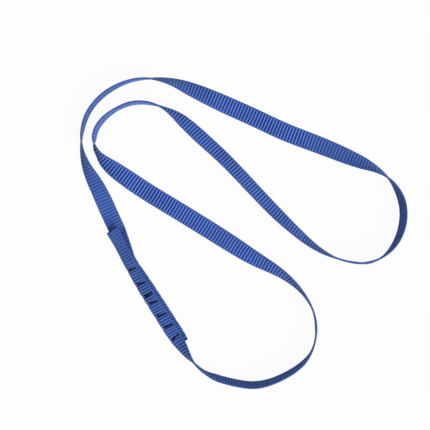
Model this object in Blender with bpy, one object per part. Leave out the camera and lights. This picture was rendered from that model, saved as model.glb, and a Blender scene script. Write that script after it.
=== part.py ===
"""Anchor sling: one flat nylon tape sewn into a loop by seven bar tacks, laid on a table in two long lobes.

Metres, +Z up. The table is z = 0, and the origin is the middle of the laid sling's outline, on the table.
"""

import math

import bmesh
import bpy
import numpy as np
from mathutils import Matrix, Vector

# Sling
sling_length = 0.800

# Tape
tape_width = 0.019
tape_thickness = 0.0020
selvedge_rounding = 0.0005
tape_point_spacing = 0.0085

# Splice, where the tape's two ends lie on each other
flap_length = 0.0455
tack_row_length = 0.0835
back_end_length = 0.0085
layer_gap = 0.0003
layer_shift = 0.0026

# Bar tacks: how far along the row each one lies, from the first to the last
tack_place_shares = (0.0, 0.211, 0.375, 0.489, 0.676, 0.835, 1.0)
tack_width = 0.0130
tack_stitch_length = 0.0028
tack_stitch_pitch = 0.00115
thread_diameter = 0.0006
thread_clearance = 0.0004
hole_overrun = 0.002
hole_sides = 8

# How near two points of a swept shape are before they count as one, and the angle from which edges stay sharp
weld_distance = 0.00001
sharp_edge_degrees = 40

# The front end of the tape, from its cut end through the tacks. Each station has its place along X and Y,
# as shares of the sling's length, and the tape's lean in degrees: at 0 it stands on its edge, at 90 it lies
# flat, and a positive lean tips its top edge towards the inside of the loop.
front_route_shares = (
    (-0.1711, 0.0032, 46),
    (-0.1597, -0.0169, 42),
    (-0.1440, -0.0470, 42),
    (-0.1331, -0.0655, 47),
    (-0.1179, -0.0896, 51),
    (-0.0984, -0.1206, 52),
    (-0.0887, -0.1356, 50),
)

# The rest of the loop, in the same form: the lower lobe, the arm back to the left bend, the inner arm out to
# the right lobe, the outer arm back over the top, and the way down to the splice.
loop_route_shares = (
    (-0.0798, -0.1487, 37),
    (-0.0723, -0.1599, 22),
    (-0.0632, -0.1705, 6),
    (-0.0510, -0.1807, 1),
    (-0.0324, -0.1892, -10),
    (-0.0093, -0.1951, -11),
    (0.0138, -0.1976, -11),
    (0.0354, -0.1932, -8),
    (0.0567, -0.1836, -6),
    (0.0747, -0.1711, -2),
    (0.0870, -0.1559, 6),
    (0.0926, -0.1398, 8),
    (0.0938, -0.1220, 3),
    (0.0910, -0.1046, 3),
    (0.0820, -0.0860, -2),
    (0.0458, -0.0515, -29),
    (0.0156, -0.0344, -52),
    (-0.0143, -0.0159, -72),
    (-0.0511, 0.0073, -83),
    (-0.0928, 0.0329, -85),
    (-0.1391, 0.0617, -82),
    (-0.1616, 0.0774, -67),
    (-0.1786, 0.0907, -43),
    (-0.1886, 0.1021, -20),
    (-0.1935, 0.1121, -12),
    (-0.1940, 0.1221, 3),
    (-0.1914, 0.1331, 5),
    (-0.1846, 0.1440, 5),
    (-0.1612, 0.1620, 1),
    (-0.1470, 0.1673, 2),
    (-0.1267, 0.1683, 1),
    (-0.1072, 0.1633, -7),
    (-0.0932, 0.1558, -22),
    (-0.0774, 0.1437, -41),
    (-0.0567, 0.1250, -49),
    (-0.0302, 0.1008, -47),
    (0.0344, 0.0337, -43),
    (0.0711, -0.0012, -30),
    (0.0983, -0.0222, -14),
    (0.1253, -0.0347, 0),
    (0.1460, -0.0391, 0),
    (0.1636, -0.0385, 8),
    (0.1805, -0.0312, 6),
    (0.1929, -0.0190, -2),
    (0.2029, -0.0004, -8),
    (0.2070, 0.0197, -10),
    (0.2057, 0.0378, -10),
    (0.1986, 0.0561, -4),
    (0.1859, 0.0725, 10),
    (0.1709, 0.0829, 26),
    (0.1524, 0.0915, 47),
    (0.1256, 0.1030, 66),
    (0.0891, 0.1178, 80),
    (0.0529, 0.1320, 86),
    (0.0166, 0.1489, 87),
    (-0.0202, 0.1654, 84),
    (-0.0372, 0.1729, 74),
    (-0.0567, 0.1814, 61),
    (-0.0747, 0.1889, 46),
    (-0.0912, 0.1950, 29),
    (-0.1089, 0.1988, 16),
    (-0.1254, 0.1998, 6),
    (-0.1409, 0.1982, 3),
    (-0.1632, 0.1906, 0),
    (-0.1792, 0.1809, -2),
    (-0.1936, 0.1672, -2),
    (-0.2034, 0.1519, -2),
    (-0.2084, 0.1368, 0),
    (-0.2106, 0.1201, 7),
    (-0.2093, 0.1037, 17),
    (-0.2030, 0.0838, 35),
    (-0.1918, 0.0615, 58),
    (-0.1778, 0.0315, 72),
)

# The back layer follows the front one from behind: beside the loose flap, at shares of its length, and then
# along the tacks, at shares of their row. Each station has how many more degrees the back layer leans, and
# how much of the layers' shift its edge stands out above the front one's.
flap_backing_shares = ((0.0, 24, 0.5), (0.3, 12, 0.4), (0.6, 3, 0.2), (0.8, 0, 0.0), (1.0, 0, 0.35))
row_backing_shares = ((0.2, 0, 0.75), (0.4, 0, 0.8), (0.6, 0, 0.85), (0.8, 0, 0.9), (1.0, 0, 1.0))

# How many places the front end is read at when the back layer is laid along it
front_route_readings = 600

tape_blue = (0.035, 0.110, 0.420, 1.0)
tape_roughness = 0.62
thread_black = (0.006, 0.007, 0.012, 1.0)
thread_roughness = 0.5


def clear_scene():
    """Removes every object that the file starts with."""
    for obj in list(bpy.data.objects):
        bpy.data.objects.remove(obj, do_unlink=True)


def new_collection(name):
    collection = bpy.data.collections.new(name)
    bpy.context.scene.collection.children.link(collection)
    return collection


def cloth_material(name, colour, roughness):
    """A woven or spun nylon: a Principled surface with no metal in it."""
    material = bpy.data.materials.new(name)
    material.use_nodes = True
    surface = material.node_tree.nodes["Principled BSDF"]
    surface.inputs["Base Color"].default_value = colour
    surface.inputs["Roughness"].default_value = roughness
    surface.inputs["Metallic"].default_value = 0.0
    material.diffuse_color = colour
    return material


def chord_distances(points):
    """The distance along a chain of points, from its first one."""
    steps = np.linalg.norm(np.diff(points, axis=0), axis=1)
    return np.concatenate([[0.0], np.cumsum(steps)])


def smooth_curve(knots, places, wanted):
    """A natural cubic spline through the places, read at the wanted distances."""
    count = len(knots)
    gaps = np.diff(knots)
    system = np.eye(count)
    bends = np.zeros_like(places)
    for i in range(1, count - 1):
        system[i, i - 1] = gaps[i - 1]
        system[i, i] = 2.0 * (gaps[i - 1] + gaps[i])
        system[i, i + 1] = gaps[i]
        slope_after = (places[i + 1] - places[i]) / gaps[i]
        slope_before = (places[i] - places[i - 1]) / gaps[i - 1]
        bends[i] = 6.0 * (slope_after - slope_before)
    bends = np.linalg.solve(system, bends)
    first = np.clip(np.searchsorted(knots, wanted) - 1, 0, count - 2)
    gap = gaps[first][:, None]
    ahead = (knots[first + 1] - wanted)[:, None]
    behind = (wanted - knots[first])[:, None]
    cubic = (bends[first] * ahead**3 + bends[first + 1] * behind**3) / (6.0 * gap)
    start = places[first] / gap - bends[first] * gap / 6.0
    end = places[first + 1] / gap - bends[first + 1] * gap / 6.0
    return cubic + start * ahead + end * behind


def steady_curve(knots, values, wanted):
    """A curve through the values that never overshoots, and stays level between two equal ones."""
    gaps = np.diff(knots)
    slopes = np.diff(values) / gaps
    tangents = np.zeros(len(knots))
    for i in range(1, len(knots) - 1):
        if slopes[i - 1] * slopes[i] > 0.0:
            tangents[i] = 2.0 * slopes[i - 1] * slopes[i] / (slopes[i - 1] + slopes[i])
    first = np.clip(np.searchsorted(knots, wanted) - 1, 0, len(knots) - 2)
    gap = gaps[first]
    share = (wanted - knots[first]) / gap
    rest = 1.0 - share
    level = values[first] * (1.0 + 2.0 * share) * rest**2
    level += values[first + 1] * (3.0 - 2.0 * share) * share**2
    lean_in = tangents[first] * gap * share * rest**2
    lean_out = tangents[first + 1] * gap * rest * share**2
    return level + lean_in - lean_out


def tape_outline():
    """The tape's cross-section, thickness by width, with its two woven edges rounded off."""
    half_thickness = tape_thickness / 2
    half_width = tape_width / 2
    flat = half_thickness - selvedge_rounding
    side = half_width - selvedge_rounding
    return (
        (-half_thickness, -side),
        (-flat, -half_width),
        (flat, -half_width),
        (half_thickness, -side),
        (half_thickness, side),
        (flat, half_width),
        (-flat, half_width),
        (-half_thickness, side),
    )


def standing_height(leans):
    """How high the tape's middle is above the table when its lower edge rests there at each lean."""
    angles = np.radians(np.abs(leans))
    reach = [x * np.sin(angles) + y * np.cos(angles) for x, y in tape_outline()]
    return np.max(reach, axis=0)


def backing_stations():
    """Distances along the front layer, with the back layer's opening and shift at each of them."""
    rows = [(share * flap_length, opening, shift) for share, opening, shift in flap_backing_shares]
    for share, opening, shift in row_backing_shares:
        rows.append((flap_length + share * tack_row_length, opening, shift))
    rows.append((flap_length + tack_row_length + back_end_length, *row_backing_shares[-1][1:]))
    distances, openings, shift_shares = np.array(rows).T
    return distances, openings, layer_shift * shift_shares


def shift_at(distances):
    """How far the back layer's edge stands out above the front one's, at distances from the front cut end."""
    stations, _, shifts = backing_stations()
    return np.interp(distances, stations, shifts)


def layer_lift(leans, distances):
    """How far the front layer is held off the table by the back layer, which it is sewn to lower down."""
    angles = np.radians(leans)
    lift = (tape_thickness + layer_gap) * np.sin(angles) - shift_at(distances) * np.cos(angles)
    return np.maximum(lift, 0.0)


def headings(points):
    """Unit directions along a chain of points, in the table's plane."""
    steps = np.gradient(points[:, :2], axis=0)
    return steps / np.linalg.norm(steps, axis=1)[:, None]


def read_route(stations, wanted):
    """Places and leans at the wanted distances along the stations."""
    knots = chord_distances(stations[:, :2])
    places = smooth_curve(knots, stations[:, :2], wanted)
    leans = steady_curve(knots, stations[:, 2], wanted)
    return np.column_stack([places, leans])


def route_stations():
    """All stations of the tape: the front end, the loop, and the back layer, which the front end places."""
    ahead = np.array(front_route_shares + loop_route_shares)
    ahead[:, :2] *= sling_length
    distances, openings, shifts = backing_stations()
    fine = np.linspace(0.0, distances[-1], front_route_readings)
    front = read_route(ahead, fine)
    facing = headings(front)
    stations = []
    for distance, opening, shift in zip(distances, openings, shifts):
        x, y, lean, along_x, along_y = (
            np.interp(distance, fine, column) for column in np.column_stack([front, facing]).T
        )
        angle = math.radians(lean)
        back_angle = math.radians(lean + opening)
        offset = (tape_thickness + layer_gap) * math.cos(angle) + shift * math.sin(angle)
        offset += tape_width / 2 * (math.sin(back_angle) - math.sin(angle))
        stations.append((x - along_y * offset, y + along_x * offset, lean + opening))
    return np.vstack([ahead, stations])


def outline_middle(path):
    """The middle of the box round the laid tape, in the table's plane."""
    angles = np.radians(np.abs(path[:, 3]))
    reach = np.max([x * np.cos(angles) + y * np.sin(angles) for x, y in tape_outline()], axis=0)
    facing = headings(path)
    sideways = np.column_stack([-facing[:, 1], facing[:, 0]]) * reach[:, None]
    edges = np.vstack([path[:, :2] + sideways, path[:, :2] - sideways])
    return (edges.min(axis=0) + edges.max(axis=0)) / 2


def tape_path():
    """The tape's middle line and lean, at even steps from its front cut end to its back one."""
    stations = route_stations()
    length = chord_distances(stations[:, :2])[-1]
    count = round(length / tape_point_spacing)
    distances = np.linspace(0.0, length, count + 1)
    path = read_route(stations, distances)
    heights = standing_height(path[:, 2])
    in_front = distances < flap_length + tack_row_length + 2 * back_end_length
    heights += np.where(in_front, layer_lift(path[:, 2], distances), 0.0)
    path = np.column_stack([path[:, :2], heights, path[:, 2]])
    path[:, :2] -= outline_middle(path)
    return path


def stack_place(path, distance):
    """The middle of the overlap at a distance: x runs along the tape, y up across it, z out of the front."""
    run = chord_distances(path[:, :3])
    middle = Vector([float(np.interp(distance, run, path[:, axis])) for axis in range(3)])
    lean = math.radians(float(np.interp(distance, run, path[:, 3])))
    step = int(np.searchsorted(run, distance))
    along = Vector(path[step, :3] - path[step - 1, :3]).normalized()
    inward = Vector((-along.y, along.x, 0.0)).normalized()
    across = Vector((0.0, 0.0, math.cos(lean))) + inward * math.sin(lean)
    outward = along.cross(across).normalized()
    across = outward.cross(along)
    middle += across * float(shift_at(distance)) / 2 - outward * (tape_thickness + layer_gap) / 2
    return Matrix.Translation(middle) @ Matrix((along, across, outward)).transposed().to_4x4()


def poly_curve(name, points, collection):
    """An open curve of straight runs through the points."""
    curve = bpy.data.curves.new(name, "CURVE")
    curve.dimensions = "3D"
    spline = curve.splines.new("POLY")
    spline.points.add(len(points) - 1)
    for point, place in zip(spline.points, points):
        point.co = (*place[:3], 1.0)
    obj = bpy.data.objects.new(name, curve)
    collection.objects.link(obj)
    return obj


def curve_to_mesh(curve_object, material):
    """Turns a closed swept curve into a mesh object of the same name, with its caps welded on."""
    name = curve_object.name
    collection = curve_object.users_collection[0]
    bpy.context.view_layer.update()
    evaluated = curve_object.evaluated_get(bpy.context.evaluated_depsgraph_get())
    mesh = bpy.data.meshes.new_from_object(evaluated)
    place = curve_object.matrix_world.copy()
    curve_data = curve_object.data
    bpy.data.objects.remove(curve_object, do_unlink=True)
    bpy.data.curves.remove(curve_data)
    weld = bmesh.new()
    weld.from_mesh(mesh)
    bmesh.ops.remove_doubles(weld, verts=weld.verts, dist=weld_distance)
    bmesh.ops.recalc_face_normals(weld, faces=weld.faces)
    weld.to_mesh(mesh)
    weld.free()
    mesh.name = name
    mesh.shade_smooth()
    mesh.set_sharp_from_angle(angle=math.radians(sharp_edge_degrees))
    mesh.materials.clear()
    mesh.materials.append(material)
    obj = bpy.data.objects.new(name, mesh)
    obj.matrix_world = place
    collection.objects.link(obj)
    return obj


def make_tape(path, parts, helpers):
    """The tape, as its cross-section carried along its middle line and tilted by the lean."""
    section = bpy.data.curves.new("tape_section", "CURVE")
    section.dimensions = "2D"
    edge = section.splines.new("POLY")
    edge.points.add(len(tape_outline()) - 1)
    for point, (across_thickness, across_width) in zip(edge.points, tape_outline()):
        point.co = (across_thickness, across_width, 0.0, 1.0)
    edge.use_cyclic_u = True
    section_object = bpy.data.objects.new("tape_section", section)
    helpers.objects.link(section_object)
    section_object.hide_render = True
    section_object.display_type = "WIRE"

    tape = poly_curve("webbing", path, parts)
    tape.data.twist_mode = "Z_UP"
    tape.data.bevel_mode = "OBJECT"
    tape.data.bevel_object = section_object
    tape.data.use_fill_caps = True
    for point, lean in zip(tape.data.splines[0].points, path[:, 3]):
        point.tilt = -math.radians(lean)
    return curve_to_mesh(tape, cloth_material("blue_nylon_tape", tape_blue, tape_roughness))


def stitch_path():
    """One thread of a bar tack: x along the tape from the tack, y across it, z out of the stack's middle."""
    passes = 2 * round(tack_width / tack_stitch_pitch / 2)
    lift = tape_thickness + layer_gap / 2 + thread_clearance + thread_diameter / 2
    leg_end = thread_clearance / 2
    side = -tack_stitch_length / 2
    places = [(side, -tack_width / 2, leg_end)]
    for across in np.linspace(-tack_width / 2, tack_width / 2, passes):
        places.append((side, across, lift))
        side = -side
        places.append((side, across, lift))
    places.append((side, tack_width / 2, leg_end))
    return places


def make_thread(name, path, distance, face, parts, material):
    """A tack's thread on the front face, 1, or turned over on the back one, -1, which follows the tape."""
    places = []
    for along, across, out in stitch_path():
        places.append(stack_place(path, distance + along) @ Vector((0.0, face * across, face * out)))
    thread = poly_curve(name, places, parts)
    thread.data.bevel_depth = thread_diameter / 2
    thread.data.bevel_resolution = 1
    thread.data.use_fill_caps = True
    return curve_to_mesh(thread, material)


def make_needle_holes(path, tack_distances, helpers):
    """Rods that pierce both layers where the threads' ends go down."""
    cutter = bmesh.new()
    radius = thread_diameter / 2 + thread_clearance
    for distance in tack_distances:
        for along, across, _ in (stitch_path()[0], stitch_path()[-1]):
            bmesh.ops.create_cone(
                cutter,
                cap_ends=True,
                segments=hole_sides,
                radius1=radius,
                radius2=radius,
                depth=2 * (tape_thickness + hole_overrun) + layer_gap,
                matrix=stack_place(path, distance + along) @ Matrix.Translation((0.0, across, 0.0)),
            )
    mesh = bpy.data.meshes.new("needle_holes")
    cutter.to_mesh(mesh)
    cutter.free()
    obj = bpy.data.objects.new("needle_holes", mesh)
    helpers.objects.link(obj)
    obj.hide_render = True
    obj.display_type = "WIRE"
    return obj


def cut(obj, cutter):
    modifier = obj.modifiers.new(cutter.name, "BOOLEAN")
    modifier.operation = "DIFFERENCE"
    modifier.solver = "EXACT"
    modifier.object = cutter


clear_scene()
sling_parts = new_collection("Anchor_Sling")
sling_helpers = new_collection("Anchor_Sling_Cutters")

middle_line = tape_path()
webbing = make_tape(middle_line, sling_parts, sling_helpers)

thread_nylon = cloth_material("black_bonded_thread", thread_black, thread_roughness)
tack_distances = [flap_length + share * tack_row_length for share in tack_place_shares]
for number, distance in enumerate(tack_distances, start=1):
    make_thread(f"tack_{number}_needle_thread", middle_line, distance, 1, sling_parts, thread_nylon)
    make_thread(f"tack_{number}_bobbin_thread", middle_line, distance, -1, sling_parts, thread_nylon)

cut(webbing, make_needle_holes(middle_line, tack_distances, sling_helpers))
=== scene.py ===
"""Anchor sling: a loop of blue ribbed nylon tape, sewn with seven black bar tacks, on a white table."""

import math

import bpy
import numpy as np
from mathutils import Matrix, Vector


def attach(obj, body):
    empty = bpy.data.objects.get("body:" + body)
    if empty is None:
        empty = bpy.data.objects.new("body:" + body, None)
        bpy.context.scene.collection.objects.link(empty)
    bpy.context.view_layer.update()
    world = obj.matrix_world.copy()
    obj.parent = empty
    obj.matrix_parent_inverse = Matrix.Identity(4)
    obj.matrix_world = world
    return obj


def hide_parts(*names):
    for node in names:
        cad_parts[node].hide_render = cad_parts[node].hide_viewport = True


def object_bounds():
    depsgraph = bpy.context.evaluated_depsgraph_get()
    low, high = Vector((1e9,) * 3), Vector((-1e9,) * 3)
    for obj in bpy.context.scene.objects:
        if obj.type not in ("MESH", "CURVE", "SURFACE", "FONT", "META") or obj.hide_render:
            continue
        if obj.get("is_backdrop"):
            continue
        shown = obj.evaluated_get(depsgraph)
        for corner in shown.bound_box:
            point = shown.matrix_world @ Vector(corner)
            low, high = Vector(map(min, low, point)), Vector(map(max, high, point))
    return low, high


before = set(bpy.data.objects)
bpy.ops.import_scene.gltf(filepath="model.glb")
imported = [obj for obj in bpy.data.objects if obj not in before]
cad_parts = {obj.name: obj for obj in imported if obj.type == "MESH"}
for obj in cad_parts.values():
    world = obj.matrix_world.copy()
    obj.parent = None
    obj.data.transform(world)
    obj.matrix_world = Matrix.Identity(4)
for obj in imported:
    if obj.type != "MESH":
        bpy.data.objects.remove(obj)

cad_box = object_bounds()

# The tape
# One length of flat nylon webbing, 19 mm wide and 2 mm thick, woven in cross ribs. It stands on its woven
# edge in a loop of two lobes and leans far over along its arms. Its two cut ends overlap at the splice.
tape_width = 0.019
tape_thickness = 0.0020
selvedge_radius = 0.0008
flap_length = 0.0455
tack_row_length = 0.0835
back_end_length = 0.0085
layer_gap = 0.0003
layer_shift = 0.0026
tack_place_shares = (0.0, 0.211, 0.375, 0.489, 0.676, 0.835, 1.0)

# The woven edges are half round at a roundness of 1, and squarer below it
selvedge_roundness = 0.6

# A leaning tape settles by what its edge is rounded off, and this power of the lean's cosine says how soon
# that stops as it leans over
settling_power = 4

# Where the tape's middle passes, as X and Y in metres, with its lean in degrees: at 0 it stands on its
# edge, at 90 it lies flat, and a positive lean tips its top edge towards the loop's inside. First its
# front end
front_route = (
    (-0.13546, 0.00177, 46),
    (-0.12634, -0.01431, 42),
    (-0.11378, -0.03839, 42),
    (-0.10506, -0.05319, 47),
    (-0.09290, -0.07247, 51),
    (-0.07730, -0.09727, 52),
    (-0.06954, -0.10927, 50),
)

# Then the lower lobe, the arm back to the left bend, the inner arm out to the right lobe, the outer arm
# back over the top, and the way down to the splice
loop_route = (
    (-0.06242, -0.11975, 37),
    (-0.05642, -0.12871, 22),
    (-0.04914, -0.13719, 6),
    (-0.03938, -0.14535, 1),
    (-0.02450, -0.15215, -10),
    (-0.00602, -0.15687, -11),
    (0.01246, -0.15887, -11),
    (0.02974, -0.15535, -8),
    (0.04678, -0.14767, -6),
    (0.06118, -0.13767, -2),
    (0.07102, -0.12551, 6),
    (0.07550, -0.11263, 8),
    (0.07646, -0.09839, 3),
    (0.07422, -0.08447, 3),
    (0.06702, -0.06959, -2),
    (0.03806, -0.04199, -29),
    (0.01390, -0.02831, -52),
    (-0.01002, -0.01351, -72),
    (-0.03946, 0.00505, -83),
    (-0.07282, 0.02553, -85),
    (-0.10986, 0.04857, -82),
    (-0.12786, 0.06113, -67),
    (-0.14146, 0.07177, -43),
    (-0.14946, 0.08089, -20),
    (-0.15338, 0.08889, -12),
    (-0.15378, 0.09689, 3),
    (-0.15170, 0.10569, 5),
    (-0.14626, 0.11441, 5),
    (-0.12754, 0.12881, 1),
    (-0.11618, 0.13305, 2),
    (-0.09994, 0.13385, 1),
    (-0.08434, 0.12985, -7),
    (-0.07314, 0.12385, -22),
    (-0.06050, 0.11417, -41),
    (-0.04394, 0.09921, -49),
    (-0.02274, 0.07985, -47),
    (0.02894, 0.02617, -43),
    (0.05830, -0.00175, -30),
    (0.08006, -0.01855, -14),
    (0.10166, -0.02855, 0),
    (0.11822, -0.03207, 0),
    (0.13230, -0.03159, 8),
    (0.14582, -0.02575, 6),
    (0.15574, -0.01599, -2),
    (0.16374, -0.00111, -8),
    (0.16702, 0.01497, -10),
    (0.16598, 0.02945, -10),
    (0.16030, 0.04409, -4),
    (0.15014, 0.05721, 10),
    (0.13814, 0.06553, 26),
    (0.12334, 0.07241, 47),
    (0.10190, 0.08161, 66),
    (0.07270, 0.09345, 80),
    (0.04374, 0.10481, 86),
    (0.01470, 0.11833, 87),
    (-0.01474, 0.13153, 84),
    (-0.02834, 0.13753, 74),
    (-0.04394, 0.14433, 61),
    (-0.05834, 0.15033, 46),
    (-0.07154, 0.15521, 29),
    (-0.08570, 0.15825, 16),
    (-0.09890, 0.15905, 6),
    (-0.11130, 0.15777, 3),
    (-0.12914, 0.15169, 0),
    (-0.14194, 0.14393, -2),
    (-0.15346, 0.13297, -2),
    (-0.16130, 0.12073, -2),
    (-0.16530, 0.10865, 0),
    (-0.16706, 0.09529, 7),
    (-0.16602, 0.08217, 17),
    (-0.16098, 0.06625, 35),
    (-0.15202, 0.04841, 58),
    (-0.14082, 0.02441, 72),
)

# The back layer follows the front one from behind: beside the loose flap, at shares of its length, and
# then along the tacks, at shares of their row. Each station has how many more degrees the back layer
# leans, and the share of the layers' shift by which its edge stands out above the front one's
flap_backing_shares = ((0.0, 24, 0.5), (0.3, 12, 0.4), (0.6, 3, 0.2), (0.8, 0, 0.0), (1.0, 0, 0.35))
row_backing_shares = ((0.2, 0, 0.75), (0.4, 0, 0.8), (0.6, 0, 0.85), (0.8, 0, 0.9), (1.0, 0, 1.0))

# The weave: cross ribs, a little closer together where the tape is sewn, which flatten out towards the
# two woven edges and scallop them. They run slightly askew and bowed, changing every so many ribs
rib_pitch = 0.00327
sewn_rib_pitch = 0.00297
rib_depth = 0.00070
rib_scallop = 0.00018
rib_unevenness = 0.18
border_width = 0.0016
border_relief_share = 0.35
rib_skew = 0.03
ribs_a_skew = 14
rib_bow = 0.0003
ribs_a_bow = 9
yarns_round = 66

# How much of their depth the ribs keep, at distances from the front end: least on the loose flap and in
# the bends, and most along the arms. The crests' painted highlight and the grooves' painted shade keep
# the same share
ribbing_shares = (
    (0.0, 0.32),
    (0.015, 0.32),
    (0.040, 0.48),
    (0.055, 0.70),
    (0.150, 0.65),
    (0.190, 0.50),
    (0.290, 0.25),
    (0.370, 0.85),
    (0.430, 0.85),
    (0.470, 0.68),
    (0.520, 0.95),
    (0.630, 1.00),
    (0.650, 0.30),
    (0.710, 0.25),
    (0.750, 0.90),
    (0.900, 0.80),
    (0.940, 0.58),
    (0.980, 0.30),
    (1.030, 0.15),
    (1.080, 0.15),
    (1.130, 0.50),
    (1.180, 0.55),
    (1.220, 0.95),
    (1.320, 0.95),
    (1.360, 0.35),
    (1.470, 0.30),
    (1.520, 0.38),
    (1.580, 0.45),
    (1.630, 0.45),
    (1.645, 1.00),
    (1.730, 1.00),
)

# What the sewing does: both outer faces dip at each tack, which presses the ribs flat there, and swell
# between the tacks, and the edges draw in
tack_length = 0.0130
tack_dip = 0.00060
tack_swell = 0.00035
tack_draw = 0.0003
tack_reach = 0.0019
swell_reach = 3 * tack_reach
tack_flattening_share = 0.8

# The cut ends are sealed with heat, which melts the ribs away and leaves a rounded, uneven lip. The lip
# is given as its reach past the ribs, with the share of the tape's thickness left there
fused_length = 0.0014
fused_thinning = 0.2
fused_ripple = 0.00025
fused_lip = ((0.0, 1.0), (0.00018, 0.88), (0.00030, 0.55))

# How finely all this is measured along the tape, and modelled
tape_samples = 8000
back_layer_samples = 1500
overlap_samples = 600
line_points = 240
look_ahead = 0.0005
sections_a_rib = 6
face_points = 9
edge_points = 4
points_a_ripple = 4

rng = np.random.default_rng(7)
back_layer_length = flap_length + tack_row_length + back_end_length
sewn_reach = back_layer_length + back_end_length


def chord_distances(points):
    """The distance along a chain of points, from its first one."""
    steps = np.linalg.norm(np.diff(points, axis=0), axis=1)
    return np.concatenate([[0.0], np.cumsum(steps)])


def unit(vectors):
    """The vectors, each scaled to a length of 1."""
    return vectors / np.linalg.norm(vectors, axis=1)[:, None]


def smooth_curve(knots, places, wanted):
    """A natural cubic spline through the places, read at the wanted distances."""
    count = len(knots)
    gaps = np.diff(knots)
    system = np.eye(count)
    bends = np.zeros_like(places)
    for i in range(1, count - 1):
        system[i, i - 1] = gaps[i - 1]
        system[i, i] = 2.0 * (gaps[i - 1] + gaps[i])
        system[i, i + 1] = gaps[i]
        slope_after = (places[i + 1] - places[i]) / gaps[i]
        slope_before = (places[i] - places[i - 1]) / gaps[i - 1]
        bends[i] = 6.0 * (slope_after - slope_before)
    bends = np.linalg.solve(system, bends)
    first = np.clip(np.searchsorted(knots, wanted) - 1, 0, count - 2)
    gap = gaps[first][:, None]
    ahead = (knots[first + 1] - wanted)[:, None]
    behind = (wanted - knots[first])[:, None]
    cubic = (bends[first] * ahead**3 + bends[first + 1] * behind**3) / (6.0 * gap)
    start = places[first] / gap - bends[first] * gap / 6.0
    end = places[first + 1] / gap - bends[first + 1] * gap / 6.0
    return cubic + start * ahead + end * behind


def steady_curve(knots, values, wanted):
    """A curve through the values that never overshoots, and stays level between two equal ones."""
    gaps = np.diff(knots)
    slopes = np.diff(values) / gaps
    tangents = np.zeros(len(knots))
    for i in range(1, len(knots) - 1):
        if slopes[i - 1] * slopes[i] > 0.0:
            tangents[i] = 2.0 * slopes[i - 1] * slopes[i] / (slopes[i - 1] + slopes[i])
    first = np.clip(np.searchsorted(knots, wanted) - 1, 0, len(knots) - 2)
    gap = gaps[first]
    share = (wanted - knots[first]) / gap
    rest = 1.0 - share
    level = values[first] * (1.0 + 2.0 * share) * rest**2
    level += values[first + 1] * (3.0 - 2.0 * share) * share**2
    lean_in = tangents[first] * gap * share * rest**2
    lean_out = tangents[first + 1] * gap * rest * share**2
    return level + lean_in - lean_out


def read_route(stations, wanted):
    """Places and leans at the wanted distances along the stations."""
    knots = chord_distances(stations[:, :2])
    places = smooth_curve(knots, stations[:, :2], wanted)
    leans = steady_curve(knots, stations[:, 2], wanted)
    return np.column_stack([places, leans])


def backing_stations():
    """Distances along the front layer, with the back layer's opening and shift at each of them."""
    rows = [(share * flap_length, opening, shift) for share, opening, shift in flap_backing_shares]
    for share, opening, shift in row_backing_shares:
        rows.append((flap_length + share * tack_row_length, opening, shift))
    rows.append((back_layer_length, *row_backing_shares[-1][1:]))
    distances, openings, shift_shares = np.array(rows).T
    return distances, openings, layer_shift * shift_shares


def shift_at(distances):
    """How far the back layer's edge stands out above the front one's, at distances from the front end."""
    stations, _, shifts = backing_stations()
    return np.interp(distances, stations, shifts)


def lay_tape():
    """All stations of the tape, with those of the back layer laid behind the front one."""
    ahead = np.array(front_route + loop_route)
    distances, openings, shifts = backing_stations()
    fine = np.linspace(0.0, distances[-1], overlap_samples)
    front = read_route(ahead, fine)
    facing = unit(np.gradient(front[:, :2], axis=0))
    columns = np.column_stack([front, facing]).T
    x, y, lean, along_x, along_y = (np.interp(distances, fine, column) for column in columns)
    angle = np.radians(lean)
    back_angle = np.radians(lean + openings)
    offset = (tape_thickness + layer_gap) * np.cos(angle) + shifts * np.sin(angle)
    offset += tape_width / 2 * (np.sin(back_angle) - np.sin(angle))
    back = np.column_stack([x - along_y * offset, y + along_x * offset, lean + openings])
    return np.vstack([ahead, back])


stations = lay_tape()
tape_length = chord_distances(stations[:, :2])[-1]
tack_distances = flap_length + np.array(tack_place_shares) * tack_row_length


def tape_middle(distances):
    """The tape's middle line, resting on its lower edge, and its leans, at distances from the front end."""
    route = read_route(stations, distances)
    angles = np.radians(route[:, 2])
    heights = (tape_width / 2) * np.cos(angles) + (tape_thickness / 2) * np.abs(np.sin(angles))
    heights -= (tape_thickness / 2) * np.abs(np.sin(angles)) * np.cos(angles) ** settling_power
    lift = (tape_thickness + layer_gap) * np.sin(angles) - shift_at(distances) * np.cos(angles)
    heights += np.where(distances < sewn_reach, np.maximum(lift, 0.0), 0.0)
    return np.column_stack([route[:, :2], heights]), route[:, 2]


def tape_places(distances):
    """The tape's middle, its run, its way up across the width, and its outer side, at distances."""
    middles, leans = tape_middle(distances)
    ahead, _ = tape_middle(np.clip(distances + look_ahead, look_ahead, tape_length))
    behind, _ = tape_middle(np.clip(distances - look_ahead, 0.0, tape_length - look_ahead))
    along = unit(ahead - behind)
    inward = unit(np.column_stack([-along[:, 1], along[:, 0], np.zeros(len(along))]))
    angles = np.radians(leans)[:, None]
    across = np.array([0.0, 0.0, 1.0]) * np.cos(angles) + inward * np.sin(angles)
    outward = unit(np.cross(along, across))
    return middles, along, np.cross(outward, along), outward


def find_back_tacks():
    """Where along the back layer each tack goes through it."""
    behind = np.linspace(tape_length - back_layer_length, tape_length, back_layer_samples)
    back_middles, _ = tape_middle(behind)
    middles, _, _, outward = tape_places(tack_distances)
    through = middles - outward * (tape_thickness + layer_gap)
    apart = np.linalg.norm(back_middles[:, None, :] - through[None, :, :], axis=2)
    return behind[np.argmin(apart, axis=0)]


back_tack_distances = find_back_tacks()


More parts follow.
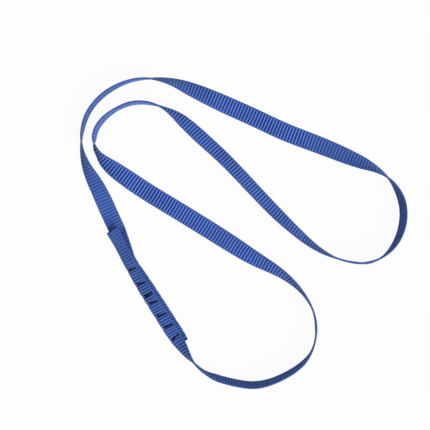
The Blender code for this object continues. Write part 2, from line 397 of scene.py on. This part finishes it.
def count_ribs(distances):
    """How many ribs lie between the front cut end and each distance."""
    fine = np.linspace(0.0, tape_length, tape_samples)
    density = np.full(len(fine), 1.0 / rib_pitch)
    for tacks in (tack_distances, back_tack_distances):
        density[(fine > tacks[0] - rib_pitch) & (fine < tacks[-1] + rib_pitch)] = 1.0 / sewn_rib_pitch
    steps = (density[1:] + density[:-1]) / 2 * np.diff(fine)
    return np.interp(distances, fine, np.concatenate([[0.0], np.cumsum(steps)]))


def wander(count, length, size):
    """A random line round zero: count values, with a bend every so many of them."""
    spare = 3
    knots = rng.uniform(-size, size, int(count / length) + spare)
    return np.interp(np.arange(count), np.arange(len(knots)) * length, knots)


def near_tacks(distances, tacks, reach):
    """1 at a tack, falling to 0 away from it."""
    apart = (distances[:, None] - tacks[None, :]) / reach
    return np.exp(-(apart**2)).max(axis=1)


def tape_outline():
    """Points round the tape's section, up its outer face and down its inner one: side, place and edge."""
    side = tape_width / 2 - selvedge_radius
    places = side * np.sin(np.linspace(-math.pi / 2, math.pi / 2, face_points))
    bends = []
    for k in range(edge_points):
        turn = math.pi * (k + 1) / (edge_points + 1)
        thick = math.copysign(abs(math.cos(turn)) ** selvedge_roundness, math.cos(turn))
        bends.append((thick, math.sin(turn) ** selvedge_roundness))
    outline = [(1.0, place, 0.0) for place in places]
    outline += [(thick, side, edge) for thick, edge in bends]
    outline += [(-1.0, place, 0.0) for place in places[::-1]]
    outline += [(-thick, -side, -edge) for thick, edge in bends]
    return outline


def border_share(place):
    """0 on the tape's ribbed middle, rising to 1 at its two woven edges, where the ribs flatten out."""
    inner = tape_width / 2 - selvedge_radius - border_width
    share = min(max((abs(place) - inner) / border_width, 0.0), 1.0)
    return share * share * (3.0 - 2.0 * share)


def space_rings():
    """Each ring's rib count, distance along the tape, reach past a cut end and share of thickness left."""
    rib_total = count_ribs(np.array([tape_length]))[0]
    fine = np.linspace(0.0, tape_length, tape_samples)
    ribs = np.linspace(0.0, rib_total, round(rib_total) * sections_a_rib + 1)
    lip_steps, lip_thickness = np.array(fused_lip).T
    beyond = np.concatenate([-lip_steps[::-1], np.zeros(len(ribs)), lip_steps])
    closing = np.concatenate([lip_thickness[::-1], np.ones(len(ribs)), lip_thickness])
    ribs = np.concatenate([np.zeros(len(fused_lip)), ribs, np.full(len(fused_lip), rib_total)])
    return ribs, np.interp(ribs, count_ribs(fine), fine), beyond, closing


def weave_rings():
    """The tape's points in rings from end to end, and each ring's rib count, ribbing and fused share."""
    ribs, distances, beyond, closing = space_rings()
    middles, along, across, outward = tape_places(distances)
    groove = 0.5 + 0.5 * np.cos(2.0 * math.pi * ribs)
    groove *= 1.0 + wander(len(ribs), sections_a_rib, rib_unevenness)
    skew = wander(len(ribs), ribs_a_skew * sections_a_rib, rib_skew)
    bow = wander(len(ribs), ribs_a_bow * sections_a_rib, rib_bow)
    ribbing_at, ribbing = np.array(ribbing_shares).T
    ribbing = steady_curve(ribbing_at, ribbing, distances)
    from_end = np.minimum(distances, tape_length - distances)
    fused = np.clip(1.0 - from_end / fused_length, 0.0, 1.0)
    layers = (tack_distances, back_tack_distances)
    pulls = [near_tacks(distances, tacks, tack_reach) for tacks in layers]
    swells = [near_tacks(distances, tacks, swell_reach) for tacks in layers]
    draw = np.maximum(*pulls) * tack_draw / tape_width * 2

    outline = tape_outline()
    ripple_at = np.arange(0, len(outline) + points_a_ripple, points_a_ripple)
    ripple = np.interp(np.arange(len(outline)), ripple_at, rng.uniform(-1, 1, len(ripple_at)))
    rings = []
    for (side, place, edge), rippled in zip(outline, ripple):
        layer = 0 if side > 0.0 else 1
        within = 1.0 - np.clip((abs(place) - tack_length / 2) / (tape_width - tack_length) * 2, 0.0, 1.0)
        pull = pulls[layer] * within
        swell = swells[layer] * within - pull
        relief = 1.0 - (1.0 - border_relief_share) * border_share(place)
        face_groove = groove * ribbing * (1.0 - tack_flattening_share * pull) * (1.0 - fused)
        thick = tape_thickness / 2 - rib_depth * relief * face_groove
        thick = thick - tack_dip * pull + tack_swell * swell
        out = side * thick * (1.0 - fused_thinning * fused) * closing
        rounding = edge * (selvedge_radius - rib_scallop * groove * (1.0 - fused)) * closing
        up = place * (1.0 - draw) + rounding
        slide = skew * place + bow * (1.0 - (2.0 * place / tape_width) ** 2)
        slide = slide * (1.0 - fused) + fused_ripple * rippled * fused + beyond
        rings.append(middles + outward * out[:, None] + across * up[:, None] + along * slide[:, None])
    return np.stack(rings, axis=1), ribs, ribbing, fused


def make_tube(name, rings, quads, ends, map_name, corners):
    """A closed tube's mesh, from its rings, quads and end faces, with a UV map for all but its ends."""
    mesh = bpy.data.meshes.new(name)
    mesh.from_pydata(rings.reshape(-1, 3).tolist(), [], quads.tolist() + ends)
    mesh.shade_smooth()
    unmapped = np.zeros((len(mesh.loops) - len(corners), 2))
    mesh.uv_layers.new(name=map_name).data.foreach_set("uv", np.vstack([corners, unmapped]).ravel())
    return mesh


def tube_quads(run, turn):
    """A tube's quads between its rings, and their UV corners: a measure along it and one round it."""
    count = len(run)
    size = len(turn) - 1
    ring = np.arange(count - 1)[:, None] * size
    here = np.arange(size)[None, :]
    after = (here + 1) % size
    quads = np.stack([ring + here, ring + size + here, ring + size + after, ring + after], axis=-1)
    runs = np.stack([run[:-1], run[1:], run[1:], run[:-1]], axis=-1)
    turns = np.stack([turn[:-1], turn[:-1], turn[1:], turn[1:]], axis=-1)
    runs = np.repeat(runs[:, None, :], size, axis=1)
    turns = np.repeat(turns[None, :, :], count - 1, axis=0)
    return quads.reshape(-1, 4), np.stack([runs, turns], axis=-1).reshape(-1, 4, 2)


def make_tape():
    """The tape as one closed mesh. Its UV map counts ribs along it and yarns round it."""
    rings, ribs, ribbing, fused = weave_rings()
    count, size, _ = rings.shape
    yarn = chord_distances(np.vstack([rings[0], rings[0][:1]]))
    yarn *= yarns_round / yarn[-1]
    quads, corners = tube_quads(ribs, yarn)
    # Each cut end is closed by quads from face to face, one after another up the tape's width
    start = size - edge_points // 2
    pairs = [((start + k) % size, (start - 1 - k) % size) for k in range(size // 2)]
    last = (count - 1) * size
    ends = []
    for (a, b), (c, d) in zip(pairs, pairs[1:]):
        ends.append((a, c, d, b))
        ends.append((last + b, last + d, last + c, last + a))
    mesh = make_tube("woven_tape", rings, quads, ends, "weave", corners.reshape(-1, 2))

    borders = np.array([border_share(place) + abs(edge) for _, place, edge in tape_outline()]) / 2
    for name, values in (
        ("ribbing", np.repeat(ribbing, size)),
        ("fused", np.repeat(fused, size)),
        ("border", np.tile(borders, count)),
    ):
        mesh.attributes.new(name, "FLOAT", "POINT").data.foreach_set("value", values)
    return mesh


def new_material(name):
    """A material's node tree and its surface shader."""
    material = bpy.data.materials.new(name)
    material.use_nodes = True
    tree = material.node_tree
    return material, tree, tree.nodes["Principled BSDF"]


def feed(tree, socket, value):
    """Gives an input a link, or a value of its own."""
    if isinstance(value, bpy.types.NodeSocket):
        tree.links.new(value, socket)
    else:
        socket.default_value = value


def put(tree, kind, inputs=(), **settings):
    """Adds a node with its settings, and feeds its inputs."""
    node = tree.nodes.new(kind)
    for name, value in settings.items():
        setattr(node, name, value)
    for name, value in dict(inputs).items():
        feed(tree, node.inputs[name], value)
    return node


def reckon(tree, operation, *terms):
    """A Math node's result."""
    return put(tree, "ShaderNodeMath", dict(enumerate(terms)), operation=operation).outputs[0]


def spread(tree, value, band, ends=(0.0, 1.0)):
    """A value smoothly spread from a band of its own to between two ends."""
    limits = {"From Min": band[0], "From Max": band[1], "To Min": ends[0], "To Max": ends[1]}
    inputs = {"Value": value, **limits}
    return put(tree, "ShaderNodeMapRange", inputs, interpolation_type="SMOOTHSTEP").outputs["Result"]


def multiply(tree, first, *others):
    """The product of some values."""
    for value in others:
        first = reckon(tree, "MULTIPLY", first, value)
    return first


def off_middle(tree, count):
    """How far a place is from the middle of its rib, yarn or ply: 0 there, and 1 at its sides."""
    return reckon(tree, "ABSOLUTE", reckon(tree, "MULTIPLY_ADD", reckon(tree, "FRACT", count), 2.0, -1.0))


def bulge(tree, off):
    """A rounded rise from 0 at the sides of a rib, yarn or ply to 1 in its middle."""
    return reckon(tree, "SUBTRACT", 1.0, reckon(tree, "MULTIPLY", off, off))


def blend_colours(tree, share, first, second, kind="MIX"):
    """Two colours mixed by a share."""
    mix = put(tree, "ShaderNodeMix", data_type="RGBA", blend_type=kind)
    # The node's share and its two colours come first, seventh and eighth, and its colour comes out third
    for place, value in ((0, share), (6, first), (7, second)):
        feed(tree, mix.inputs[place], value)
    return mix.outputs[2]


def read_counts(tree, map_name):
    """A UV map's two counts, along a piece and round it."""
    counts = put(tree, "ShaderNodeUVMap", uv_map=map_name).outputs[0]
    split = put(tree, "ShaderNodeSeparateXYZ", {0: counts}).outputs
    return split[0], split[1]


def read_share(tree, name):
    """A share that the mesh carries."""
    return put(tree, "ShaderNodeAttribute", attribute_name=name).outputs["Fac"]


def new_group(name, inputs, outputs):
    """An empty node group with number sockets, its way in and its way out."""
    group = bpy.data.node_groups.new(name, "ShaderNodeTree")
    for label, value in inputs.items():
        socket = group.interface.new_socket(name=label, in_out="INPUT", socket_type="NodeSocketFloat")
        socket.default_value = value
    for label in outputs:
        group.interface.new_socket(name=label, in_out="OUTPUT", socket_type="NodeSocketFloat")
    way_in = group.nodes.new("NodeGroupInput").outputs
    way_out = group.nodes.new("NodeGroupOutput").inputs
    return group, way_in, way_out


def place_group(tree, group, **inputs):
    """A node group placed in a material, with its values."""
    node = tree.nodes.new("ShaderNodeGroup")
    node.node_tree = group
    for name, value in inputs.items():
        feed(tree, node.inputs[name], value)
    return node.outputs


def build_filaments():
    """Fine drawn filaments that run along a yarn: a slight change of shade and of height across them."""
    inputs = {"Along": 0.0, "Across": 0.0, "Fineness": 14.0}
    shade_band = (0.25, 0.75)
    shades = (0.86, 1.12)
    height_band = (0.2, 0.8)
    group, given, result = new_group("filaments", inputs, ("Shade", "Height"))
    across = reckon(group, "MULTIPLY", given["Across"], given["Fineness"])
    lie = put(group, "ShaderNodeCombineXYZ", {"X": given["Along"], "Y": across}).outputs[0]
    pattern = {"Vector": lie, "Scale": 1.0, "Detail": 2.0, "Roughness": 0.6}
    streaks = put(group, "ShaderNodeTexNoise", pattern)
    group.links.new(spread(group, streaks.outputs[0], shade_band, shades), result["Shade"])
    group.links.new(spread(group, streaks.outputs[0], height_band), result["Height"])
    return group


def build_dye():
    """How evenly the nylon took its dye: broad clouds and small specks, as a shade round 1."""
    cloud_band = (0.3, 0.7)
    group, given, result = new_group("dye", {"Clouds": 28.0, "Unevenness": 0.08}, ("Shade",))
    place = put(group, "ShaderNodeTexCoord").outputs["Object"]
    clouds = put(group, "ShaderNodeTexNoise", {"Vector": place, "Scale": given["Clouds"], "Detail": 3.0})
    lightest = reckon(group, "ADD", 1.0, given["Unevenness"])
    darkest = reckon(group, "SUBTRACT", 1.0, given["Unevenness"])
    group.links.new(spread(group, clouds.outputs[0], cloud_band, (darkest, lightest)), result["Shade"])
    return group


filaments = build_filaments()
dye = build_dye()

# The blue of a rib's crest, lightened with a painted highlight, of the groove beside it, darkened with
# painted shade, and of a melted end. Where the ribs are shallow, the colour stays near one that has this
# much of the groove's painted shade in it
crest_blue_and_highlight = (0.116, 0.220, 0.592, 1.0)
groove_painted_shade_blue = (0.003, 0.033, 0.330, 1.0)
fused_blue = (0.012, 0.036, 0.165, 1.0)
mean_groove = 0.4

# The groove's painted shade comes in over this band from a rib's crest, at 0, to its groove, at 1
groove_band = (0.3, 0.9)

# The woven edge is plainer than the tape's middle, and darkened with painted shade, over these bands of
# the border's share
plain_edge_band = (0.1, 0.6)
plain_edge_contrast = 0.4
painted_edge_shade_band = (0.3, 0.8)
painted_edge_shade_level = 0.75

# A yarn carries a painted highlight along its middle, and painted shade where it meets the next one
float_band = (0.0, 0.7)
float_painted_shades = (0.72, 1.05)

# How a rib's yarns and its own arch stand up, and what a single filament adds to that
yarn_height = 0.00010
arch_height = 0.0007
filament_share = 0.15

# A rib is smoother than its groove, and the nylon of a melted end is smoother still
rib_roughness = 0.50
groove_roughness = 0.72
fused_smoothing = 0.28
fused_colour_band = (0.15, 0.6)
fused_gloss_band = (0.1, 0.8)


def make_tape_material():
    """Blue nylon: painted-highlight crests of yarn floats side by side, painted-shade grooves, melted ends.
    """
    material, tree, surface = new_material("ribbed_nylon_tape")
    rib, yarn = read_counts(tree, "weave")
    border = read_share(tree, "border")
    ribbing = read_share(tree, "ribbing")
    fused = read_share(tree, "fused")

    from_crest = off_middle(tree, rib)
    # The share of the groove's painted shade, which fades with the ribbing and towards the woven edges
    contrast = multiply(tree, ribbing, spread(tree, border, plain_edge_band, (1.0, plain_edge_contrast)))
    groove = reckon(tree, "SUBTRACT", spread(tree, from_crest, groove_band), mean_groove)
    groove = reckon(tree, "MULTIPLY_ADD", groove, contrast, mean_groove)
    stagger = multiply(tree, reckon(tree, "MODULO", reckon(tree, "FLOOR", rib), 2.0), 0.5)
    floats = bulge(tree, off_middle(tree, reckon(tree, "ADD", yarn, stagger)))
    threads = place_group(tree, filaments, Along=rib, Across=yarn)

    # A painted highlight along each yarn's middle and painted shade between the yarns
    yarn_painted_shade = spread(tree, floats, float_band, float_painted_shades)
    # Painted shade on the woven edges
    edge_painted_shade = spread(tree, border, painted_edge_shade_band, (1.0, painted_edge_shade_level))
    shade = multiply(tree, place_group(tree, dye)["Shade"], threads["Shade"], yarn_painted_shade, edge_painted_shade)
    # The crest's painted highlight and the groove's painted shade, mixed by that share
    colour = blend_colours(tree, groove, crest_blue_and_highlight, groove_painted_shade_blue)
    colour = blend_colours(tree, 1.0, colour, shade, "MULTIPLY")
    colour = blend_colours(tree, spread(tree, fused, fused_colour_band), colour, fused_blue)
    tree.links.new(colour, surface.inputs["Base Color"])

    rough = spread(tree, groove, (0.0, 1.0), (rib_roughness, groove_roughness))
    smoothing = spread(tree, fused, fused_gloss_band, (0.0, fused_smoothing))
    tree.links.new(reckon(tree, "SUBTRACT", rough, smoothing), surface.inputs["Roughness"])

    edge_arch = spread(tree, border, plain_edge_band, (arch_height / yarn_height, 0.0))
    arch = multiply(tree, bulge(tree, from_crest), edge_arch, ribbing)
    height = reckon(tree, "MULTIPLY_ADD", threads["Height"], filament_share, floats)
    height = multiply(tree, reckon(tree, "ADD", arch, height), reckon(tree, "SUBTRACT", 1.0, fused))
    relief = put(tree, "ShaderNodeBump", {"Height": height, "Distance": yarn_height, "Strength": 1.0})
    tree.links.new(relief.outputs[0], surface.inputs["Normal"])
    surface.inputs["Sheen Weight"].default_value = 0.36
    surface.inputs["Sheen Roughness"].default_value = 0.35
    surface.inputs["Sheen Tint"].default_value = (0.30, 0.54, 0.92, 1.0)
    surface.inputs["Specular IOR Level"].default_value = 0.05
    return material


def add_piece(name, mesh, material, node):
    """Puts a finished mesh into the scene in place of a solid, on the sling's one body."""
    mesh.materials.append(material)
    piece = bpy.data.objects.new(name, mesh)
    bpy.context.scene.collection.objects.link(piece)
    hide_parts(node)
    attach(piece, "root")
    return piece


tape = add_piece("ribbed_tape", make_tape(), make_tape_material(), "webbing")
tape_line, _ = tape_middle(np.linspace(0.0, tape_length, line_points))

# The bar tacks
# Seven dense zigzags of black bonded nylon thread join the tape's two ends. A lockstitch is two threads:
# the needle thread shows on the splice's front face, and the bobbin thread makes the same bar on its back.
thread_radius = 0.00026
thread_sides = 8
thread_black = (0.003, 0.006, 0.024, 1.0)

# A stitch dives into the tape at both ends. Its rise between them is the rounder the higher this power,
# and it has points at these shares of its length
stitch_dive = 0.0005
stitch_arch_power = 0.4
stitch_shares = (0.0, 0.1, 0.25, 0.5, 0.75, 0.9)

# The stitches crowd towards a tack's lower end and grow shorter towards its upper one. None lies quite
# like the next, and its height changes half as much as its place
stitch_crowding = 1.25
stitch_taper = 0.6
stitch_unevenness = 0.00014

# Each tack's own slant in degrees, length of stitch and number of passes
tack_stitches = (
    (-1, 0.0026, 22),
    (7, 0.0026, 20),
    (-3, 0.0044, 16),
    (9, 0.0023, 20),
    (8, 0.0040, 14),
    (5, 0.0025, 20),
    (-9, 0.0028, 20),
)

# The thread's plies twist round it, by so many of them in each diameter of its length. They are smoother
# on top than in the grooves between them, with a painted highlight on top and painted shade in the grooves
ply_count = 3.0
ply_twist = 0.9
ply_painted_shades = (0.5, 1.1)
ply_band = (0.1, 0.9)
ply_height = 0.00006
ply_filament_share = 0.2
ply_roughness = (0.62, 0.42)


def stitch_line(slant, stitch, passes):
    """A tack's thread: x along the tape, y across it and z above the face."""
    line = []
    half_length = tack_length / 2
    skew = math.tan(math.radians(slant))
    for count in range(passes):
        side = 1.0 if count % 2 else -1.0
        low, high = (2.0 * (np.array([count, count + 1]) / passes) ** stitch_crowding - 1.0) * half_length
        reach = stitch * (1.0 + stitch_taper * (0.5 - count / passes))
        nudge = rng.uniform(-1.0, 1.0, 3) * stitch_unevenness
        for share in stitch_shares:
            x = side * (share - 0.5) * reach + nudge[0]
            y = low + (high - low) * share + nudge[1] * math.sin(math.pi * share)
            rise = math.sin(math.pi * share) ** stitch_arch_power
            z = -stitch_dive + (stitch_dive + thread_radius + nudge[2] * 0.5) * rise
            line.append((x + y * skew, y, z))
    line.append((side * 0.5 * reach + high * skew, high, -stitch_dive))
    return np.array(line)


def lay_thread(distance, line, face):
    """Puts a stitch line on the splice's front face, 1, or its back one, -1."""
    middles, _, across, outward = tape_places(distance + line[:, 0])
    pull = np.exp(-((line[:, 0] / tack_reach) ** 2))
    swell = np.exp(-((line[:, 0] / swell_reach) ** 2)) - pull
    out = tape_thickness / 2 + line[:, 2] - tack_dip * pull + tack_swell * swell
    if face < 0:
        out = -(out + tape_thickness + layer_gap)
    up = line[:, 1] + shift_at(distance) / 2
    return middles + across * up[:, None] + outward * out[:, None], outward


def sweep_thread(name, points, upward):
    """A round thread along the points. Its UV map runs along it in diameters and round it once."""
    along = unit(np.gradient(points, axis=0))
    aside = unit(np.cross(along, upward))
    above = np.cross(aside, along)
    turns = (np.arange(thread_sides) * 2.0 * math.pi / thread_sides)[None, :, None]
    rounds = np.cos(turns) * aside[:, None, :] + np.sin(turns) * above[:, None, :]
    rings = points[:, None, :] + thread_radius * rounds
    run = chord_distances(points) / (2 * thread_radius)
    quads, corners = tube_quads(run, np.arange(thread_sides + 1) / thread_sides)
    # Its rings turn the other way round than the tape's, so its quads are turned over
    turned = [0, 3, 2, 1]
    corners = corners[:, turned].reshape(-1, 2)
    first = tuple(range(thread_sides))[::-1]
    last = tuple((len(points) - 1) * thread_sides + j for j in range(thread_sides))
    return make_tube(name, rings, quads[:, turned], [first, last], "ply", corners)


def make_thread_material():
    """Black bonded nylon thread: three plies twisted together under a thin waxy bond."""
    material, tree, surface = new_material("black_bonded_thread")
    run, turn = read_counts(tree, "ply")
    lay = reckon(tree, "MULTIPLY_ADD", run, ply_twist, reckon(tree, "MULTIPLY", turn, ply_count))
    plies = reckon(tree, "SQRT", bulge(tree, off_middle(tree, lay)))
    threads = place_group(tree, filaments, Along=run, Across=lay, Fineness=8.0)
    dyed = place_group(tree, dye, Unevenness=0.15)
    # The plies' painted highlight on top and painted shade in their grooves
    shade = multiply(tree, threads["Shade"], dyed["Shade"], spread(tree, plies, ply_band, ply_painted_shades))
    colour = blend_colours(tree, 1.0, thread_black, shade, "MULTIPLY")
    tree.links.new(colour, surface.inputs["Base Color"])
    tree.links.new(spread(tree, plies, (0.0, 1.0), ply_roughness), surface.inputs["Roughness"])
    height = reckon(tree, "MULTIPLY_ADD", threads["Height"], ply_filament_share, plies)
    relief = put(tree, "ShaderNodeBump", {"Height": height, "Distance": ply_height, "Strength": 0.8})
    tree.links.new(relief.outputs[0], surface.inputs["Normal"])
    surface.inputs["Specular IOR Level"].default_value = 0.1
    return material


thread_material = make_thread_material()
for number, (distance, stitches) in enumerate(zip(tack_distances, tack_stitches), start=1):
    for face, layer in ((1, "needle"), (-1, "bobbin")):
        points, outward = lay_thread(distance, stitch_line(*stitches), face)
        name = f"tack_{number}_{layer}_stitches"
        mesh = sweep_thread(name, points, outward * face)
        add_piece(name, mesh, thread_material, f"tack_{number}_{layer}_thread")

# The table, the light and the camera
# The sling lies on a plain white table, under soft studio light from above and from the lower right. The
# camera looks straight down on it from a metre up.
table_size = 3.0
table_white = (0.66, 0.66, 0.66, 1.0)
table_glow_share = 0.95

# The picture spans so many metres of the table, whatever the width of the camera's sensor
camera_place = (-0.02841, 0.01753, 1.0)
view_across = 0.4502
sensor_width = 36.0

# The sky and the key lamp together light the table at 1. The lamp's place and spread are in degrees
sky_strength = 0.30
key_strength = 0.70
key_elevation = 44.0
key_azimuth = 320.0
key_spread = 32.0


def seen_directly(tree):
    """1 for the rays that show a backdrop to the camera, straight or in gloss or glass, and 0 for light."""
    rays = put(tree, "ShaderNodeLightPath").outputs
    seen = reckon(tree, "MAXIMUM", rays["Is Camera Ray"], rays["Is Glossy Ray"])
    return reckon(tree, "MAXIMUM", seen, rays["Is Transmission Ray"])


def make_table_material():
    """White, and seen as nearly white by the camera, with the sling's shadow on it."""
    material, tree, surface = new_material("white_table")
    surface.inputs["Base Color"].default_value = table_white
    surface.inputs["Roughness"].default_value = 0.9
    surface.inputs["Specular IOR Level"].default_value = 0.0
    glow = put(tree, "ShaderNodeEmission", {"Strength": 1.0}).outputs[0]
    share = multiply(tree, seen_directly(tree), table_glow_share)
    mixed = put(tree, "ShaderNodeMixShader", {0: share, 1: surface.outputs[0], 2: glow})
    tree.links.new(mixed.outputs[0], tree.nodes["Material Output"].inputs["Surface"])
    return material


bpy.ops.mesh.primitive_plane_add(size=table_size)
table = bpy.context.object
table.name = "table_top"
table.data.materials.append(make_table_material())
table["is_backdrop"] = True

world = bpy.data.worlds.new("studio")
bpy.context.scene.world = world
world.use_nodes = True
sky_tree = world.node_tree
sky = sky_tree.nodes["Background"]
sky.inputs["Color"].default_value = (1.0, 1.0, 1.0, 1.0)
sky_light = reckon(sky_tree, "MULTIPLY_ADD", seen_directly(sky_tree), 1.0 - sky_strength, sky_strength)
sky_tree.links.new(sky_light, sky.inputs["Strength"])

key = bpy.data.lights.new("key", "SUN")
key.angle = math.radians(key_spread)
key.energy = math.pi * key_strength / math.sin(math.radians(key_elevation))
key_lamp = bpy.data.objects.new("key", key)
key_lamp.rotation_euler = (0.0, math.radians(90.0 - key_elevation), math.radians(key_azimuth))
bpy.context.scene.collection.objects.link(key_lamp)

camera = bpy.data.cameras.new("camera")
camera.sensor_width = sensor_width
camera.lens = sensor_width * camera_place[2] / view_across
camera_object = bpy.data.objects.new("camera", camera)
camera_object.location = camera_place
bpy.context.scene.collection.objects.link(camera_object)
bpy.context.scene.camera = camera_object
bpy.context.scene.view_settings.view_transform = "Standard"

boxes = {"cad": cad_box, "scene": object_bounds()}
boxes = {name: [list(corner) for corner in box] for name, box in boxes.items()}
